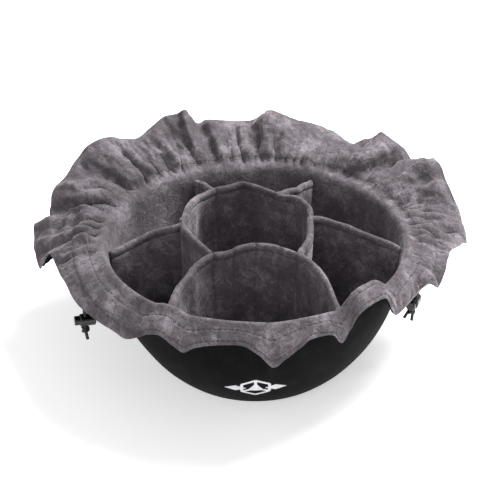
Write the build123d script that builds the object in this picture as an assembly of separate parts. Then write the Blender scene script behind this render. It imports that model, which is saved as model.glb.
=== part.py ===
"""Drawstring dice bag, standing open: a round soft tub with seven pockets and a folded-out collar.

Millimetres, +Z up. The origin is the centre of the base's underside, on the table.
A bearing is an angle about Z in degrees: 0 is right (+X), 90 is back (+Y), 270 is the front.
"""
from build123d import *
import math
import os

os.makedirs("parts", exist_ok=True)

# Overall sizes of the tub.
BASE_RADIUS = 76.0          # the flat round base
RIM_RADIUS = 115.0          # the mouth, where the collar folds out
WALL_HEIGHT = 100.0         # table to the seam under the collar
WALL_BULGE = 11.0           # how far the wall swells past a straight cone
SEAM_RIGHT = 352.0          # bearings of the two side seams, under the cord exits
SEAM_LEFT = 198.0

# Cloth, board and gaps.
CLOTH = 1.2                 # one layer of velour or suede cloth
LAYER_GAP = 0.3             # air between two layers that lie together
SEWN_GAP = 0.2              # air where one sewn piece meets the next
BOARD_THICKNESS = 2.0
BOARD_MARGIN = 5.0          # the board stops this far inside the base's edge

# Pockets.
RING_RADIUS = 52.0          # centre pocket, across its corners
RING_X = -5.0
RING_Y = 15.0
RING_TOP = 112.0
POCKET_WALL = 3.2           # two layers of lining sewn back to back
DIVIDER_WALL_TOP = 97.0     # where a divider's top edge meets the outer wall
DIVIDER_LEVEL_RADIUS = 50.0  # inside this radius a divider is as tall as the ring
# name, bearing of the ring's corner, bearing where it meets the wall, bow to its left
DIVIDERS = [
    ("divider_right", 0, 354, 0),
    ("divider_back_right", 60, 63, 0),
    ("divider_back_left", 120, 117, 0),
    ("divider_left", 180, 189, 0),
    ("divider_front_left", 240, 237, -7),
    ("divider_front_right", 300, 304, 7),
]

# Collar: gathered as far as the cord channel, then loose and wavy out to its edge.
COLLAR_RISE = 2.5           # upright stretch between the seam and the fold
COLLAR_BEND = 6.0           # soft bend over the rim, measured along the cloth
SIDE_LIFT = -18.0           # slope of the gathered stretch at the sides, degrees above level
LIFT_SWING = 42.0           # added at the back, taken away at the front
CHANNEL_START = 12.0        # the cord channel, measured along the cloth from the rim
CHANNEL_END = 25.0
CHANNEL_SLOPE = 2.0         # length over which the layers part to make the channel
CHANNEL_HALF = 2.0          # half the channel's height
COLLAR_GAP = 0.6            # air between the collar's two layers, which lie loosely together
# The free edge: bearing, reach past the rim, rise above it.
COLLAR_EDGE = [
    (8, 56, -21), (17, 59, -7), (27, 57, 19), (38, 57, 3), (48, 53, 28), (60, 56, 8),
    (70, 55, 20), (82, 49, 34), (94, 54, 17), (105, 54, 26), (113, 47, 37), (126, 56, 21),
    (137, 53, 27), (145, 50, 34), (156, 57, 14), (165, 60, -3), (176, 59, -9), (186, 57, -12),
    (196, 44, -22), (206, 34, -29), (216, 26, -33), (226, 19, -30), (235, 15, -26), (243, 20, -26),
    (252, 24, -16), (261, 25, -14), (269, 22, -19), (277, 20, -27), (286, 23, -19), (294, 25, -16),
    (303, 21, -23), (312, 16, -24), (322, 17, -25), (332, 26, -33), (341, 37, -29), (350, 50, -24),
    (358, 56, -22),
]

# Drawstrings: two loops in one channel, one with its ends at each side.
CORD_DIAMETER = 2.4
LANE_INNER = 16.0           # the right cord's distance out along the cloth
LANE_OUTER = 21.0           # the left cord's
CORD_RUNS = 30              # straight runs round the channel
EXIT_RUN = 6.0              # last runs, before and after the turn down through the eyelet
EXIT_SPREAD = 3.0           # between the centres of a pair of strands
EYELET_WALL = 0.8
EYELET_LENGTH = 3.6
EYELET_TOP = 2.8            # starts below the cord's turn, measured down from the channel's middle
EYELET_CLEARANCE = 0.35     # round the pair of strands
EYELET_FIT = 0.05           # between the eyelet and the cloth that it is set in
# Each pair of strands, as steps from the pair's exit: the knot, then the tails' ends.
STRANDS = {
    "left": {"bearing": 198, "lane": LANE_OUTER, "spread_bearing": 288,
             "knot": (-3.0, -1.0, -50.0), "tail": (-2.0, -1.5, -57.0)},
    "right": {"bearing": 351, "lane": LANE_INNER, "spread_bearing": 335,
              "knot": (-6.0, 0.5, -53.0), "tail": (-8.0, -0.5, -60.0)},
}
TAIL_FLARE = 1.6            # each tail's end swings out by this much
KNOT_RADIUS = 3.6

# Cord locks: barrel, sprung plunger and a slot through both for the pair of strands.
LOCK_RADIUS = 4.9
LOCK_FRONT = 4.0            # barrel, from the strands to its open end
LOCK_END_WALL = 1.5
LOCK_EDGE_ROUND = 1.2
LOCK_ABOVE_KNOT = 8.6       # between the lock's centre and the knot's, along the strands
PLUNGER_RADIUS = 3.7
PLUNGER_FIT = 0.08          # running clearance in the barrel's bore
PLUNGER_TRAVEL = 2.5
PLUNGER_HEAD = 4.0          # stands out of the barrel by this much
PLUNGER_NECK = 1.0          # plunger's solid end behind its slot
PLUNGER_EDGE_ROUND = 0.8
SLOT_CLEARANCE = 0.3        # round the strands
SPRING_WIRE = 0.35
SPRING_RADIUS = 2.6
SPRING_TURNS = 3
SPRING_CLEARANCE = 0.1
SPRING_ROOM = 0.3           # left beside the closed spring when the plunger is pressed home

# Embroidered badge on the front wall: a die seen corner on, between two lozenges.
BADGE_HEIGHT = 33.0         # its centre above the table
DIE_RADIUS = 12.5
DIE_STROKE = 1.8
DIE_FACE_RADIUS = 6.9
LOZENGE_LENGTH = 15.0
LOZENGE_WIDTH = 8.0
LOZENGE_PLACE = 14.5        # centre of each lozenge, from the die's centre
THREAD_HEIGHT = 0.7         # the embroidery stands this far off the cloth


def export(part, name):
    """Write one piece to its own file, with its name on it."""
    part.label = name
    export_step(part, f"parts/{name}.step")


def at_bearing(bearing, radius, height=0.0):
    angle = math.radians(bearing)
    return Vector(radius * math.cos(angle), radius * math.sin(angle), height)


# The wall's outer face is one arc in section. Every other layer's arc has the same centre.
CHORD = math.hypot(RIM_RADIUS - BASE_RADIUS, WALL_HEIGHT)
WALL_ARC = ((CHORD / 2) ** 2 + WALL_BULGE ** 2) / (2 * WALL_BULGE)
ARC_X = (BASE_RADIUS + RIM_RADIUS) / 2 - (WALL_ARC - WALL_BULGE) * WALL_HEIGHT / CHORD
ARC_Z = WALL_HEIGHT / 2 + (WALL_ARC - WALL_BULGE) * (RIM_RADIUS - BASE_RADIUS) / CHORD
LINING_INSET = CLOTH + LAYER_GAP
POCKET_INSET = LINING_INSET + CLOTH


def wall_radius(height, inset=0.0):
    """Radius of the wall at this height, measured inset deep into it."""
    return ARC_X + math.sqrt((WALL_ARC - inset) ** 2 - (height - ARC_Z) ** 2)


def wall_line(low, high, inset):
    """The wall's section from one height to another, as an arc in the XZ plane."""
    middle = (low + high) / 2
    points = [(wall_radius(z, inset), 0, z) for z in (low, middle, high)]
    return ThreePointArc(*points)


def wall_skin(low, high, inset, start, sweep):
    """A cloth-thick wall between two heights, turned through a sweep of degrees."""
    outer = wall_line(low, high, inset)
    inner = wall_line(low, high, inset + CLOTH)
    section = make_face([outer, inner, Line(outer @ 0, inner @ 0), Line(outer @ 1, inner @ 1)])
    return Rot(0, 0, start) * revolve(section, Axis.Z, sweep)


# Base stack: outer cloth, board, lining floor.
BOARD_LEVEL = CLOTH + LAYER_GAP
FLOOR_LEVEL = BOARD_LEVEL + BOARD_THICKNESS + LAYER_GAP
FLOOR_TOP = FLOOR_LEVEL + CLOTH


def disc(radius, low, thickness):
    return Pos(0, 0, low) * extrude(Circle(radius), thickness)


export(disc(wall_radius(CLOTH), 0, CLOTH), "outer_base")
export(disc(BASE_RADIUS - BOARD_MARGIN, BOARD_LEVEL, BOARD_THICKNESS), "base_board")
export(disc(wall_radius(FLOOR_LEVEL, POCKET_INSET) - SEWN_GAP, FLOOR_LEVEL, CLOTH), "lining_floor")

# Outer wall in two panels that meet at the side seams, and the lining inside it.
FRONT_SWEEP = SEAM_RIGHT - SEAM_LEFT
export(wall_skin(CLOTH, WALL_HEIGHT, 0, SEAM_LEFT, FRONT_SWEEP), "outer_wall_front")
export(wall_skin(CLOTH, WALL_HEIGHT, 0, SEAM_RIGHT, 360 - FRONT_SWEEP), "outer_wall_back")
export(wall_skin(FLOOR_LEVEL, WALL_HEIGHT, LINING_INSET, 0, 360), "lining_wall")

# Centre pocket: an upright six-sided tube.
POCKET_LEVEL = FLOOR_TOP + SEWN_GAP
ACROSS_FLATS = math.cos(math.radians(30))


def ring_prism(grow):
    """The centre pocket's outline, grown by this much on each flat, as a tall prism."""
    outline = Pos(RING_X, RING_Y) * RegularPolygon(RING_RADIUS + grow / ACROSS_FLATS, 6)
    return Pos(0, 0, POCKET_LEVEL) * extrude(outline, RING_TOP - POCKET_LEVEL)


export(ring_prism(0) - ring_prism(-POCKET_WALL), "center_pocket_wall")


def pocket_space():
    """All the room inside the lining that a divider may fill, with its sloping top."""
    inset = POCKET_INSET + SEWN_GAP
    wall = wall_line(POCKET_LEVEL, DIVIDER_WALL_TOP, inset)
    top = [wall @ 1, Vector(DIVIDER_LEVEL_RADIUS, 0, RING_TOP), Vector(0, 0, RING_TOP)]
    rest = Polyline(*top, Vector(0, 0, POCKET_LEVEL), wall @ 0)
    return revolve(make_face([wall, rest]), Axis.Z)


def thick_line(start, end, bow):
    """A strip POCKET_WALL wide from start to end, bowed sideways at its middle."""
    along = (end - start).normalized()
    side = Vector(-along.Y, along.X, 0)
    half = side * (POCKET_WALL / 2)
    if bow == 0:
        return make_face(Polyline(start + half, end + half, end - half, start - half, close=True))
    middle = (start + end) / 2 + side * bow
    left = ThreePointArc(start + half, middle + half, end + half)
    right = ThreePointArc(start - half, middle - half, end - half)
    ends = [Line(left @ 0, right @ 0), Line(left @ 1, right @ 1)]
    return make_face([left, right] + ends)


SPACE = pocket_space() - ring_prism(SEWN_GAP)
for name, corner, bearing, bow in DIVIDERS:
    start = Vector(RING_X, RING_Y, 0) + at_bearing(corner, RING_RADIUS - POCKET_WALL)
    strip = thick_line(start, at_bearing(bearing, RIM_RADIUS), bow)
    wall = Pos(0, 0, POCKET_LEVEL) * extrude(strip, RING_TOP - POCKET_LEVEL)
    export(wall & SPACE, name)

# Collar.
FOLD_LEVEL = WALL_HEIGHT + COLLAR_RISE


def section_point(bearing, along, off):
    """Radius and height on the gathered stretch: along the cloth, then off its face."""
    lift = math.radians(SIDE_LIFT + LIFT_SWING * math.sin(math.radians(bearing)))
    if along <= COLLAR_BEND:
        radius = RIM_RADIUS + along * math.cos(lift / 2)
        height = FOLD_LEVEL + along * math.sin(lift / 2)
        lift = lift / 2
    else:
        rest = along - COLLAR_BEND
        radius = RIM_RADIUS + COLLAR_BEND * math.cos(lift / 2) + rest * math.cos(lift)
        height = FOLD_LEVEL + COLLAR_BEND * math.sin(lift / 2) + rest * math.sin(lift)
    return radius - off * math.sin(lift), height + off * math.cos(lift)


def edge_point(bearing, reach, rise, off):
    """Radius and height on the free edge, moved off the cloth's face."""
    radius, height = RIM_RADIUS + reach, FOLD_LEVEL + rise
    from_radius, from_height = section_point(bearing, CHANNEL_END, 0)
    slope = math.atan2(height - from_height, radius - from_radius)
    return radius - off * math.sin(slope), height + off * math.cos(slope)


def collar_layer(low, channel_low, wall_low, wall_high):
    """One layer of the collar, sewn up from ruled strips.

    low is its lower face's distance off the collar's middle, channel_low the same in the
    channel. wall_low and wall_high are the radii that its two faces grow from at the seam.
    """
    skins = []
    for wall, off, bulge in (
        (wall_low, low, channel_low), (wall_high, low + CLOTH, channel_low + CLOTH)):
        stations = [
            (COLLAR_BEND / 2, off), (CHANNEL_START, off),
            (CHANNEL_START + CHANNEL_SLOPE, bulge), (CHANNEL_END - CHANNEL_SLOPE, bulge),
            (CHANNEL_END, off),
        ]
        lines = [[at_bearing(bearing, wall, height) for bearing, _, _ in COLLAR_EDGE]
                 for height in (WALL_HEIGHT, FOLD_LEVEL + off)]
        lines += [[at_bearing(bearing, *section_point(bearing, along, away))
                   for bearing, _, _ in COLLAR_EDGE] for along, away in stations]
        lines.append([at_bearing(key[0], *edge_point(*key, off)) for key in COLLAR_EDGE])
        skins.append(lines)
    lines = skins[0] + skins[1][::-1]
    rings = [Spline(*line, periodic=True) for line in lines]
    faces = [Face.make_surface_from_curves(one, other)
             for one, other in zip(rings, rings[1:] + rings[:1])]
    return Solid(Shell(faces))


def lane_point(bearing, lane, off=0.0):
    return at_bearing(bearing, *section_point(bearing, lane, off))


def exit_frame(pair):
    """The pair's exit on the channel's middle, its direction down and its spread."""
    top = lane_point(pair["bearing"], pair["lane"])
    down = Vector(*pair["knot"]).normalized()
    spread = at_bearing(pair["spread_bearing"], 1)
    spread = (spread - down * spread.dot(down)).normalized()
    return top, down, spread


def pair_slot(pair, clearance, low, length):
    """An oval bar round the pair of strands, starting low down them from the exit."""
    top, down, spread = exit_frame(pair)
    width = CORD_DIAMETER + 2 * clearance
    plane = Plane(origin=top + down * low, x_dir=spread, z_dir=down)
    return plane * extrude(SlotCenterToCenter(EXIT_SPREAD, width), length)


def tube(points, name):
    """A round cord along straight runs joined by tangent arcs. Prints its arcs' radii."""
    points = [Vector(*point) for point in points]
    radii = []
    for before, here, after in zip(points, points[1:], points[2:]):
        turn = math.radians((here - before).get_angle(after - here))
        shorter = min((here - before).length, (after - here).length)
        radii.append(0.45 * shorter / math.tan(turn / 2))
    path = FilletPolyline(*points, radius=radii) if radii else Line(*points)
    start = Plane(origin=path @ 0, z_dir=path % 0)
    cord = sweep(start * Circle(CORD_DIAMETER / 2), path=path)
    share = cord.volume / (math.pi * (CORD_DIAMETER / 2) ** 2 * path.length)
    smallest = min(radii) if radii else 0
    print(f"{name}: length {path.length:.1f}, smallest radius {smallest:.1f}, volume share {share:.4f}")
    print("  radii", [round(radius, 1) for radius in radii])
    export(cord, name)


collar_outer = collar_layer(
    -COLLAR_GAP / 2 - CLOTH, -CHANNEL_HALF - CLOTH,
    wall_radius(WALL_HEIGHT), wall_radius(WALL_HEIGHT, CLOTH))
collar_lining = collar_layer(
    COLLAR_GAP / 2, CHANNEL_HALF,
    wall_radius(WALL_HEIGHT, LINING_INSET), wall_radius(WALL_HEIGHT, POCKET_INSET))
for pair in STRANDS.values():
    through = EYELET_CLEARANCE + EYELET_WALL + EYELET_FIT
    collar_outer = collar_outer - pair_slot(pair, through, 0, EYELET_TOP + EYELET_LENGTH + CLOTH)
export(collar_outer, "collar_outer")
export(collar_lining, "collar_lining")

# Drawstrings, strands, knots, eyelets and locks, for one side after the other.
for side, pair in STRANDS.items():
    top, down, spread = exit_frame(pair)
    lead = math.degrees(2 * EXIT_RUN / math.hypot(top.X, top.Y))
    first, last = pair["bearing"] + lead, pair["bearing"] + 360 - lead
    route = [lane_point(first + (last - first) * i / CORD_RUNS, pair["lane"])
             for i in range(CORD_RUNS + 1)]
    onward = at_bearing(pair["bearing"] + 90, 1)
    apart = spread * math.copysign(EXIT_SPREAD / 2, spread.dot(onward))
    exits = [top + apart + down * EXIT_RUN, top - apart + down * EXIT_RUN]
    tube([exits[0], top + apart] + route + [top - apart, exits[1]], f"drawstring_{side}")
    eyelet = pair_slot(pair, EYELET_CLEARANCE + EYELET_WALL, EYELET_TOP, EYELET_LENGTH)
    export(eyelet - pair_slot(pair, EYELET_CLEARANCE, 0, 3 * EYELET_LENGTH), f"eyelet_{side}")

    knot = top + Vector(*pair["knot"])
    strands = []
    for letter, start, shift in (("a", exits[0], apart), ("b", exits[1], -apart)):
        flare = shift.normalized() * TAIL_FLARE
        points = [start, knot + shift, top + Vector(*pair["tail"]) + shift + flare]
        tube(points, f"strand_{side}_{letter}")
    plane = Plane(origin=knot, x_dir=spread, z_dir=down)
    tied = Sphere(KNOT_RADIUS) & Box(4 * KNOT_RADIUS, 1.7 * KNOT_RADIUS, 1.7 * KNOT_RADIUS)
    export(plane * tied, f"knot_{side}")

    # The lock's own frame: X out of the barrel's mouth, Y across the strands, Z up them.
    slot_width = CORD_DIAMETER + 2 * SLOT_CLEARANCE
    neck = -slot_width / 2 - PLUNGER_NECK
    closed_spring = (SPRING_TURNS + 1) * SPRING_WIRE
    bore_end = neck - PLUNGER_TRAVEL - closed_spring - SPRING_ROOM
    lock_back = LOCK_END_WALL - bore_end
    centre = knot - down * LOCK_ABOVE_KNOT
    place = Plane(origin=centre, x_dir=spread.cross(-down), z_dir=-down)
    lying = Rot(0, 90, 0)
    barrel = Pos(-lock_back, 0, 0) * lying * extrude(Circle(LOCK_RADIUS), lock_back + LOCK_FRONT)
    barrel = fillet(barrel.edges().filter_by(GeomType.CIRCLE), LOCK_EDGE_ROUND)
    bore = Pos(bore_end, 0, 0) * lying * extrude(Circle(PLUNGER_RADIUS + PLUNGER_FIT), 2 * lock_back)
    through = SlotCenterToCenter(EXIT_SPREAD, slot_width, rotation=90)
    through = Pos(0, 0, -2 * LOCK_RADIUS) * extrude(through, 4 * LOCK_RADIUS)
    export(place * (barrel - bore - through), f"lock_barrel_{side}")

    plunger = Pos(neck, 0, 0) * lying * extrude(
        Circle(PLUNGER_RADIUS), LOCK_FRONT + PLUNGER_HEAD - neck)
    plunger = fillet(plunger.edges().group_by(Axis.X)[-1], PLUNGER_EDGE_ROUND)
    room = through + Pos(PLUNGER_TRAVEL, 0, 0) * through
    room += Pos(PLUNGER_TRAVEL / 2, 0, 0) * Box(PLUNGER_TRAVEL, EXIT_SPREAD + slot_width, 4 * LOCK_RADIUS)
    export(place * (plunger - room), f"lock_plunger_{side}")

    spring_length = neck - bore_end - 2 * SPRING_CLEARANCE - SPRING_WIRE
    coil = Helix(spring_length / SPRING_TURNS, spring_length, SPRING_RADIUS)
    wire = Plane(origin=coil @ 0, z_dir=coil % 0) * Circle(SPRING_WIRE / 2)
    spring = sweep(wire, path=coil, is_frenet=True)
    inset = bore_end + SPRING_CLEARANCE + SPRING_WIRE / 2
    export(place * Pos(inset, 0, 0) * lying * spring, f"lock_spring_{side}")
    print(f"lock_{side}: centre {centre}, slides along {-down}, plunger along {place.x_dir}")

# Embroidered badge, standing on the front wall.
def lozenge(length, width):
    corners = [(length / 2, 0), (0, width / 2), (-length / 2, 0), (0, -width / 2)]
    return make_face(Polyline(*corners, close=True))


def badge_outline():
    """A die seen corner on: its outline, its near face and three edges. Lozenges beside it."""
    die = RegularPolygon(DIE_RADIUS, 6, rotation=30)
    badge = die - offset(die, -DIE_STROKE) + RegularPolygon(DIE_FACE_RADIUS, 3, rotation=90)
    spoke = Rectangle(DIE_RADIUS, DIE_STROKE, align=(Align.MIN, Align.CENTER))
    for corner in range(3):
        badge += Rot(0, 0, 90 + 120 * corner) * spoke & die
    for hand in (-1, 1):
        badge += Pos(hand * LOZENGE_PLACE, 0) * lozenge(LOZENGE_LENGTH, LOZENGE_WIDTH)
    return badge


def thread_band():
    """The layer of thread on the front wall, from side seam to side seam."""
    far = wall_line(CLOTH, WALL_HEIGHT, -THREAD_HEIGHT)
    near = wall_line(CLOTH, WALL_HEIGHT, 0)
    section = make_face([far, near, Line(far @ 0, near @ 0), Line(far @ 1, near @ 1)])
    return Rot(0, 0, SEAM_LEFT) * revolve(section, Axis.Z, FRONT_SWEEP)


front = Plane(origin=(0, 0, BADGE_HEIGHT), x_dir=(1, 0, 0), z_dir=(0, -1, 0))
export(front * extrude(badge_outline(), 2 * RIM_RADIUS) & thread_band(), "badge_embroidery")
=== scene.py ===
import math
import bpy
import numpy as np
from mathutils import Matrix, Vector, noise


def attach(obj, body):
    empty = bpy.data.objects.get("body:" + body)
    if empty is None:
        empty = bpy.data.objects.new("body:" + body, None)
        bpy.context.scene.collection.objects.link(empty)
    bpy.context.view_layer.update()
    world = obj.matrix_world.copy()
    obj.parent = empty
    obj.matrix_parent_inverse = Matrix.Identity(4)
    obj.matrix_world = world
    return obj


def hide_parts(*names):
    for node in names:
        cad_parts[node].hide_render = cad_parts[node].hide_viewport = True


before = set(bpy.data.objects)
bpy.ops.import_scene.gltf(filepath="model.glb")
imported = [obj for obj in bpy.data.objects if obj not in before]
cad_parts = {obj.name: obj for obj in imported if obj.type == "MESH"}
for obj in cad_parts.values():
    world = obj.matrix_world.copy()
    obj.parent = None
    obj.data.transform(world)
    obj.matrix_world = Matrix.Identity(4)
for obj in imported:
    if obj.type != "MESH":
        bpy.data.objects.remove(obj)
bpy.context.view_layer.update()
MM = 0.001

# ---- Camera ----
# A camera on a tripod at table height, looking down on the open bag from the front.
CAMERA_TARGET = Vector((-4, 0, 88)) * MM
CAMERA_DISTANCE = 720 * MM
CAMERA_ELEVATION = math.radians(31.5)
LENS = 66.6                     # millimetres, on a 36 mm sensor

camera_data = bpy.data.cameras.new("table_camera")
camera_data.lens = LENS
camera_data.sensor_width = 36
camera = bpy.data.objects.new("table_camera", camera_data)
bpy.context.collection.objects.link(camera)
camera_back = Vector((0, -math.cos(CAMERA_ELEVATION), math.sin(CAMERA_ELEVATION)))
camera.location = CAMERA_TARGET + camera_back * CAMERA_DISTANCE
camera.rotation_euler = camera_back.to_track_quat("Z", "Y").to_euler()
bpy.context.scene.camera = camera

# ---- Drawcord strands and knots ----
# The two ends of each drawcord hang in a pair from the collar's underside, through a cord
# lock, to one overhand knot. Braided black polyester, 2.4 mm thick and limp, dyed right
# through, with a painted highlight on the braid's raised crowns, paler than the hollows.
CORD_DIAMETER = 2.4
CORD_DARK = "#070708"
# The paler colour is a painted highlight on the braid's crowns.
CORD_CROWN_HIGHLIGHT = "#2a2a2e"
BRAID_PITCH = 1.2               # one crossing of the braid, in millimetres along the cord
STRANDS = {                     # each strand's route, from the eyelet down to its sealed tail
    "left": {
        "a": [(-127.00, -42.84, 87.19), (-129.2, -43.6, 50.6), (-129.64, -43.72, 43.18),
              (-128.14, -45.75, 36.18)],
        "b": [(-127.92, -39.99, 87.19), (-130.1, -40.7, 50.3), (-130.57, -40.87, 43.18),
              (-130.06, -39.85, 36.18)],
    },
    "right": {
        "a": [(126.33, -19.64, 91.26), (121.9, -19.3, 51.8), (121.01, -19.19, 44.22),
              (117.57, -19.52, 37.39)],
        "b": [(129.03, -20.91, 90.94), (124.5, -20.5, 51.2), (123.71, -20.47, 43.91),
              (123.15, -22.14, 36.74)],
    },
}
KNOTS = {"left": (-130.10, -42.30, 43.18), "right": (122.36, -19.83, 44.07)}
KNOT_DOWN = {"left": (-0.060, -0.020, -0.998), "right": (-0.112, 0.009, -0.994)}
KNOT_SIZE = 0.82                # of the trefoil that the cord ties itself into
KNOT_DEPTH = 1.35
KNOT_POINTS = 24


def colour(hex_code):
    """An sRGB hex colour as linear red, green, blue and alpha."""
    values = [int(hex_code[i:i + 2], 16) / 255 for i in (1, 3, 5)]
    return (*[v / 12.92 if v <= 0.04045 else ((v + 0.055) / 1.055) ** 2.4 for v in values], 1)


def add(material, kind, settings=None, links=None):
    """Adds one shader node: its settings and input values by name, and what feeds its inputs."""
    node = material.node_tree.nodes.new(kind)
    for name, value in (settings or {}).items():
        if isinstance(name, int) or name in node.inputs:
            node.inputs[name].default_value = value
        else:
            setattr(node, name, value)
    for name, socket in (links or {}).items():
        material.node_tree.links.new(socket, node.inputs[name])
    return node


def new_material(name, **shader):
    """A material with its shader's plain values set. Returns it, its shader and object coordinates."""
    material = bpy.data.materials.new(name)
    material.use_nodes = True
    surface = material.node_tree.nodes["Principled BSDF"]
    for key, value in shader.items():
        surface.inputs[key.replace("_", " ").title().replace("Ior", "IOR")].default_value = value
    place = add(material, "ShaderNodeTexCoord").outputs["Object"]
    return material, surface, place


def blend_colours(material, surface, factor, stops):
    """Colours the surface by factor, through hex colours at their places."""
    ramp = add(material, "ShaderNodeValToRGB", links={"Fac": factor})
    for index, (position, hex_code) in enumerate(stops):
        points = ramp.color_ramp.elements
        point = points[index] if index < len(points) else points.new(position)
        point.position = position
        point.color = colour(hex_code)
    material.node_tree.links.new(ramp.outputs["Color"], surface.inputs["Base Color"])


def emboss(material, surface, height, depth, under=None, strength=1.0):
    """Raises the surface by depth millimetres where height is 1, over another relief if given."""
    links = {"Height": height}
    if under is not None:
        links["Normal"] = under
    bump = add(material, "ShaderNodeBump", {"Distance": depth * MM, "Strength": strength}, links)
    material.node_tree.links.new(bump.outputs["Normal"], surface.inputs["Normal"])
    return bump.outputs["Normal"]


braid, surface, place = new_material("braided_polyester_cord", roughness=0.55, specular_ior_level=0.4)
turned = add(braid, "ShaderNodeMapping", {"Rotation": (0.6, 0.5, 0)}, {"Vector": place})
crossings = add(braid, "ShaderNodeTexVoronoi", {"Scale": 1 / (BRAID_PITCH * MM)},
                {"Vector": turned.outputs["Vector"]}).outputs["Distance"]
# Painted highlight: the braid's crowns get the paler colour, the hollows between them the dark one.
blend_colours(braid, surface, crossings, [(0.1, CORD_CROWN_HIGHLIGHT), (0.6, CORD_DARK)])
hollows = add(braid, "ShaderNodeMath", {"operation": "SUBTRACT", 0: 1.0}, {1: crossings})
emboss(braid, surface, hollows.outputs[0], 0.25)


def put(name, data, material, body="root", replaces=()):
    """Adds a piece to the scene on its body, with its finish and the frame nodes it stands for."""
    piece = bpy.data.objects.new(name, data)
    bpy.context.collection.objects.link(piece)
    data.materials.append(material)
    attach(piece, body)
    if replaces:
        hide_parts(*replaces)
    return piece


def line_curve(name, points, closed=False):
    """A round cord along one smooth NURBS line through the control points, in millimetres."""
    data = bpy.data.curves.new(name, "CURVE")
    data.dimensions = "3D"
    data.bevel_depth = CORD_DIAMETER / 2 * MM
    data.bevel_resolution = 4
    data.use_fill_caps = True
    data.resolution_u = 12
    spline = data.splines.new("NURBS")
    spline.points.add(len(points) - 1)
    for point, at in zip(spline.points, points):
        point.co = (*[c * MM for c in at], 1)
    spline.order_u = 3
    spline.use_endpoint_u = not closed
    spline.use_cyclic_u = closed
    return data


for side, pair in STRANDS.items():
    turn = Vector(KNOT_DOWN[side]).to_track_quat("Z", "Y").to_matrix()
    loop = []
    for step in range(KNOT_POINTS):
        t = math.tau * step / KNOT_POINTS
        curl = Vector((math.sin(t) + 2 * math.sin(2 * t), math.cos(t) - 2 * math.cos(2 * t), 0))
        curl = curl * KNOT_SIZE + Vector((0, 0, -math.sin(3 * t) * KNOT_DEPTH))
        loop.append(Vector(KNOTS[side]) + turn @ curl)
    knot = put(f"tied_knot_{side}", line_curve(f"tied_knot_{side}", loop, closed=True), braid,
               replaces=[f"knot_{side}"])
    for letter, route in pair.items():
        strand = put(f"hanging_strand_{side}_{letter}", line_curve(f"strand_{side}_{letter}", route),
                     braid, replaces=[f"strand_{side}_{letter}"])

# ---- Cord locks ----
# One sprung cord lock on each pair: a moulded black acetal barrel and push button with a
# slot through both, and a steel spring between them. Gloss straight from a polished mould.
ACETAL_BLACK = "#060607"
ACETAL_SCUFF = "#131315"
SCUFF_SIZE = 2.5                # millimetres
MOULD_SHINE = (0.12, 0.26)      # roughness where it is polished and where it is handled
SPRING_BRIGHT = "#c9c9c6"
SPRING_DULL = "#8d8d8a"
DRAW_MARK = 0.2                 # millimetres between the wire's drawing marks

acetal, surface, place = new_material(
    "moulded_acetal_black", roughness=0.16, ior=1.48, coat_weight=0.25, coat_roughness=0.08)
flow = add(acetal, "ShaderNodeTexNoise", {"Scale": 1 / (SCUFF_SIZE * MM), "Detail": 5},
           {"Vector": place}).outputs["Fac"]
blend_colours(acetal, surface, flow, [(0.35, ACETAL_BLACK), (0.75, ACETAL_SCUFF)])
shine = add(acetal, "ShaderNodeMapRange", {"To Min": MOULD_SHINE[0], "To Max": MOULD_SHINE[1]},
            {"Value": flow})
acetal.node_tree.links.new(shine.outputs["Result"], surface.inputs["Roughness"])
emboss(acetal, surface, flow, 0.03)

spring_wire, surface, place = new_material("drawn_spring_steel", metallic=1, roughness=0.3)
marks = add(spring_wire, "ShaderNodeTexNoise", {"Scale": 1 / (DRAW_MARK * MM)}, {"Vector": place})
blend_colours(spring_wire, surface, marks.outputs["Fac"], [(0.3, SPRING_DULL), (0.7, SPRING_BRIGHT)])
emboss(spring_wire, surface, marks.outputs["Fac"], 0.02)


def finish_node(node, material):
    """Gives a node of the frame its material."""
    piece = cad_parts[node]
    piece.data.materials.clear()
    piece.data.materials.append(material)


for side in STRANDS:
    finish_node(f"lock_barrel_{side}", acetal)
    finish_node(f"lock_plunger_{side}", acetal)
    finish_node(f"lock_spring_{side}", spring_wire)

# ---- Eyelets ----
# An oval eyelet pressed through the collar's underside where each pair comes out. Brass with
# a black nickel plate, so it is dark but still reflects.
NICKEL_DARK = "#2b2b2d"
NICKEL_BRIGHT = "#5a5a5e"
PLATE_MARK = 0.8                # millimetres

black_nickel, surface, place = new_material("black_nickel_plate", metallic=1, roughness=0.28)
wear = add(black_nickel, "ShaderNodeTexNoise", {"Scale": 1 / (PLATE_MARK * MM), "Detail": 4},
           {"Vector": place}).outputs["Fac"]
blend_colours(black_nickel, surface, wear, [(0.3, NICKEL_DARK), (0.8, NICKEL_BRIGHT)])
emboss(black_nickel, surface, wear, 0.02)
for side in STRANDS:
    finish_node(f"eyelet_{side}", black_nickel)

# ---- Shape of the bag's wall and collar ----
# The bag is two cloths sewn face to face and turned: black suede cloth outside, velour
# inside. Both follow one middle line up the wall, over the rim and out to the collar's edge.
BASE_RADIUS = 76.0
RIM_RADIUS = 115.0
WALL_HEIGHT = 100.0
WALL_FOOT = 1.0                 # the cloth's middle turns under here, so its face meets the table
WALL_BULGE = 11.0
FOLD_LEVEL = 102.5
CLOTH = 1.2
WALL_MIDDLE = 1.35              # from the wall's outer face to the middle of its two cloths
SIDE_LIFT = -18.0               # slope of the gathered stretch at the sides, in degrees
LIFT_SWING = 42.0               # added at the back and taken away at the front
CHANNEL = (12.0, 25.0)          # the cord channel, measured along the cloth from the rim
CHANNEL_NEEDS = 29.0            # the collar's width that leaves room for the whole channel
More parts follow.
